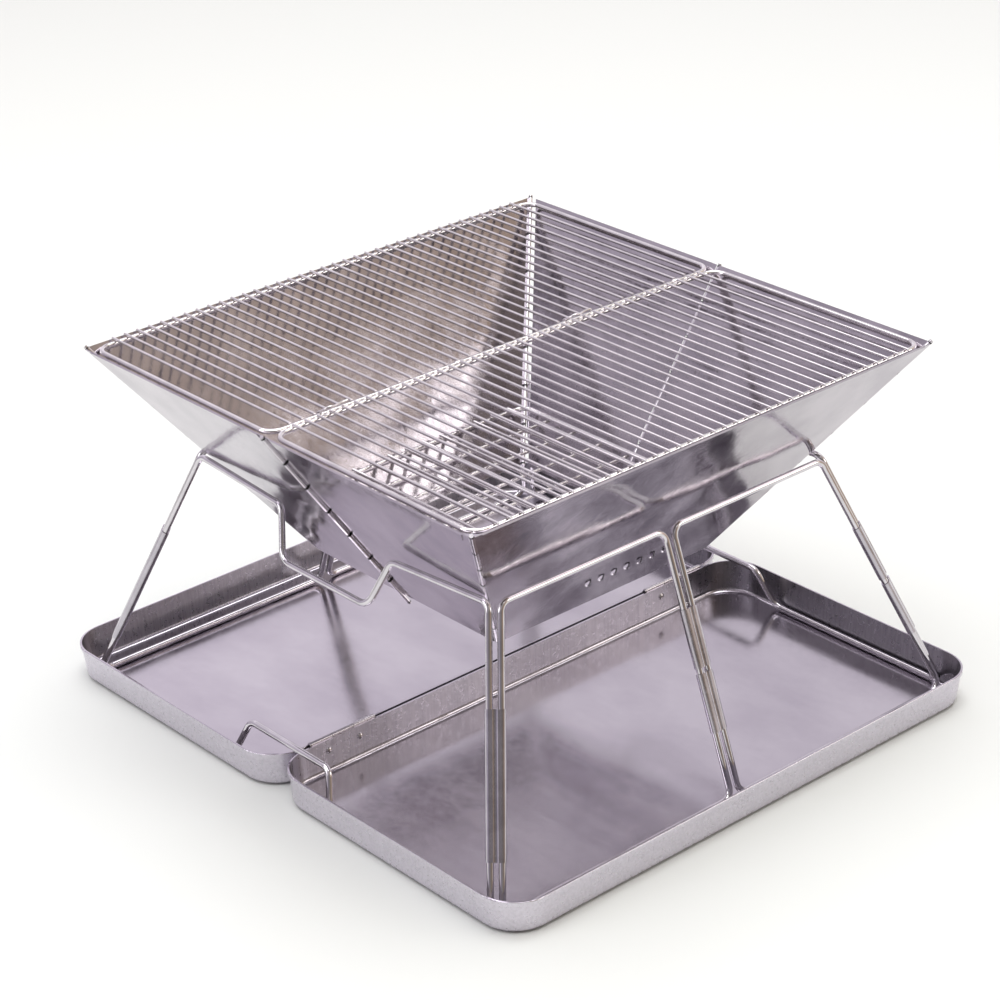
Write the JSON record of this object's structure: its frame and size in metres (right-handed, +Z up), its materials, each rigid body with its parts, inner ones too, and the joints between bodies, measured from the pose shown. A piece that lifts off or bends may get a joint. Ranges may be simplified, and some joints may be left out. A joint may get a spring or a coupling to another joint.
{
  "type": "folding camp grill",
  "caption": "Folding stainless camp grill: an inverted-pyramid firebox of hinged panels on a hinged wire stand, with charcoal and cooking grates, standing in its own opened case.",
  "frame": {"origin": "centre of the open case's footprint, on the ground", "axes": "+X along the case hinge, -Y towards the front tray, +Y towards the back tray, +Z up"},
  "size_m": [0.4856, 0.5376, 0.3026],
  "materials": {
    "tray_steel": "pressed stainless sheet, satin with a vertical grain on the walls",
    "panel_steel": "bright rolled stainless sheet",
    "wire_steel": "polished stainless wire",
    "sleeve_steel": "drawn stainless tube",
    "hinge_steel": "rolled stainless hinge strip and pins",
    "rivet_steel": "domed stainless rivets",
    "grate_steel": "polished stainless rods, spot welded"
  },
  "bodies": {
    "front_case": {"front_tray": "tray_steel", "case_hinge_front_leaves": "hinge_steel", "case_hinge_pins": "hinge_steel", "front_rivets": "rivet_steel"},
    "back_case": {"back_tray": "tray_steel", "case_hinge_back_leaves": "hinge_steel", "back_rivets": "rivet_steel"},
    "stand_left_end": {"left_end_frame": "wire_steel", "front_left_sleeve": "sleeve_steel", "back_left_sleeve": "sleeve_steel"},
    "stand_front_left": {"front_left_frame": "wire_steel"},
    "stand_front_middle": {"front_middle_sleeves": "sleeve_steel"},
    "stand_front_right": {"front_right_frame": "wire_steel"},
    "stand_right_end": {"right_end_frame": "wire_steel", "front_right_sleeves": "sleeve_steel", "back_right_end_sleeve": "sleeve_steel"},
    "stand_back_left": {"back_left_frame": "wire_steel"},
    "stand_back_middle": {"back_middle_sleeves": "sleeve_steel"},
    "stand_back_right": {"back_right_frame": "wire_steel", "back_right_side_sleeve": "sleeve_steel"},
    "firebox_front": {"firebox_front_panel": "panel_steel", "pin_front_left": "hinge_steel", "pin_front_right": "hinge_steel"},
    "firebox_left_front": {"firebox_left_front_panel": "panel_steel", "pin_left_middle": "hinge_steel"},
    "firebox_left_back": {"firebox_left_back_panel": "panel_steel", "pin_back_left": "hinge_steel"},
    "firebox_back": {"firebox_back_panel": "panel_steel", "pin_back_right": "hinge_steel"},
    "firebox_right_front": {"firebox_right_front_panel": "panel_steel", "pin_right_middle": "hinge_steel"},
    "firebox_right_back": {"firebox_right_back_panel": "panel_steel"},
    "charcoal_grate": {"charcoal_grate_frame": "grate_steel", "charcoal_grate_long_wires": "grate_steel", "charcoal_grate_cross_wires": "grate_steel"},
    "front_grate": {"front_grate_frame": "grate_steel", "front_grate_rods": "grate_steel"},
    "back_grate": {"back_grate_frame": "grate_steel", "back_grate_rods": "grate_steel", "grate_fold_rings": "grate_steel"}
  },
  "joints": [
    {"name": "stand_lift", "type": "slide", "parent": "front_case", "child": "stand_left_end", "axis": [0, 0, 1], "range_m": [0, 1.08]},
    {"name": "case_fold", "type": "hinge", "parent": "front_case", "child": "back_case", "pos_m": [0, 0, 0.0286], "axis": [1, 0, 0], "range_deg": [0, 180.01]},
    {"name": "front_left_leg_fold", "type": "hinge", "parent": "stand_left_end", "child": "stand_front_left", "pos_m": [-0.21288, -0.22653, 0.05], "axis": [0.3102, 0.3212, 0.8948], "range_deg": [0, 96.36]},
    {"name": "front_middle_left_fold", "type": "hinge", "parent": "stand_front_left", "child": "stand_front_middle", "pos_m": [-0.004, -0.22653, 0.05], "axis": [0, 0.3379, 0.9412], "range_deg": [-90.01, 0]},
    {"name": "front_middle_right_fold", "type": "hinge", "parent": "stand_front_middle", "child": "stand_front_right", "pos_m": [0.004, -0.22653, 0.05], "axis": [0, 0.3379, 0.9412], "range_deg": [-90.01, 0]},
    {"name": "front_right_leg_fold", "type": "hinge", "parent": "stand_front_right", "child": "stand_right_end", "pos_m": [0.21288, -0.22653, 0.05], "axis": [-0.3102, 0.3212, 0.8948], "range_deg": [0, 96.36]},
    {"name": "back_left_leg_fold", "type": "hinge", "parent": "stand_left_end", "child": "stand_back_left", "pos_m": [-0.21288, 0.22653, 0.05], "axis": [0.3102, -0.3212, 0.8948], "range_deg": [-96.36, 0]},
    {"name": "back_middle_left_fold", "type": "hinge", "parent": "stand_back_left", "child": "stand_back_middle", "pos_m": [-0.004, 0.22653, 0.05], "axis": [0, -0.3379, 0.9412], "range_deg": [0, 90.01]},
    {"name": "back_middle_right_fold", "type": "hinge", "parent": "stand_back_middle", "child": "stand_back_right", "pos_m": [0.004, 0.22653, 0.05], "axis": [0, -0.3379, 0.9412], "range_deg": [0, 90.01]},
    {"name": "firebox_lift", "type": "slide", "parent": "front_case", "child": "firebox_front", "axis": [0, 0, 1], "range_m": [0, 1.5401]},
    {"name": "firebox_front_left_fold", "type": "hinge", "parent": "firebox_front", "child": "firebox_left_front", "pos_m": [-0.10024, -0.0981, 0.11218], "axis": [-0.5012, -0.4905, 0.7129], "range_deg": [-106.53, 0]},
    {"name": "firebox_left_middle_fold", "type": "hinge", "parent": "firebox_left_front", "child": "firebox_left_back", "pos_m": [-0.14599, 0, 0.17257], "axis": [-0.5751, 0, 0.8181], "range_deg": [0, 175.71]},
    {"name": "firebox_back_left_fold", "type": "hinge", "parent": "firebox_left_back", "child": "firebox_back", "pos_m": [-0.10024, 0.0981, 0.11218], "axis": [-0.5012, 0.4905, 0.7129], "range_deg": [-106.53, 0]},
    {"name": "firebox_front_right_fold", "type": "hinge", "parent": "firebox_front", "child": "firebox_right_front", "pos_m": [0.10024, -0.0981, 0.11218], "axis": [0.5012, -0.4905, 0.7129], "range_deg": [0, 106.53]},
    {"name": "firebox_right_middle_fold", "type": "hinge", "parent": "firebox_right_front", "child": "firebox_right_back", "pos_m": [0.14599, 0, 0.17257], "axis": [0.5751, 0, 0.8181], "range_deg": [-175.71, 0]},
    {"name": "charcoal_lift", "type": "slide", "parent": "firebox_front", "child": "charcoal_grate", "axis": [0, 0, 1], "range_m": [0, 0.6001]},
    {"name": "grate_lift", "type": "slide", "parent": "firebox_front", "child": "front_grate", "axis": [0, 0, 1], "range_m": [0, 0.5201]},
    {"name": "grate_fold", "type": "hinge", "parent": "front_grate", "child": "back_grate", "pos_m": [0, 0, 0.2931], "axis": [1, 0, 0], "range_deg": [0, 180]}
  ],
  "couplings": [
    {"joint": "case_fold", "follows": "stand_lift", "rad_per_m": 2.9089},
    {"joint": "front_left_leg_fold", "follows": "stand_lift", "rad_per_m": 1.5571},
    {"joint": "front_middle_left_fold", "follows": "stand_lift", "rad_per_m": -1.4544},
    {"joint": "front_middle_right_fold", "follows": "stand_lift", "rad_per_m": -1.4544},
    {"joint": "front_right_leg_fold", "follows": "stand_lift", "rad_per_m": 1.5571},
    {"joint": "back_left_leg_fold", "follows": "stand_lift", "rad_per_m": -1.5571},
    {"joint": "back_middle_left_fold", "follows": "stand_lift", "rad_per_m": 1.4544},
    {"joint": "back_middle_right_fold", "follows": "stand_lift", "rad_per_m": 1.4544},
    {"joint": "firebox_lift", "follows": "stand_lift", "ratio": 1.4259},
    {"joint": "firebox_front_left_fold", "follows": "stand_lift", "rad_per_m": -1.7215},
    {"joint": "firebox_left_middle_fold", "follows": "stand_lift", "rad_per_m": 2.8394},
    {"joint": "firebox_back_left_fold", "follows": "stand_lift", "rad_per_m": -1.7215},
    {"joint": "firebox_front_right_fold", "follows": "stand_lift", "rad_per_m": 1.7215},
    {"joint": "firebox_right_middle_fold", "follows": "stand_lift", "rad_per_m": -2.8394},
    {"joint": "charcoal_lift", "follows": "stand_lift", "ratio": 0.55556},
    {"joint": "grate_lift", "follows": "stand_lift", "ratio": 0.48148}
  ]
}
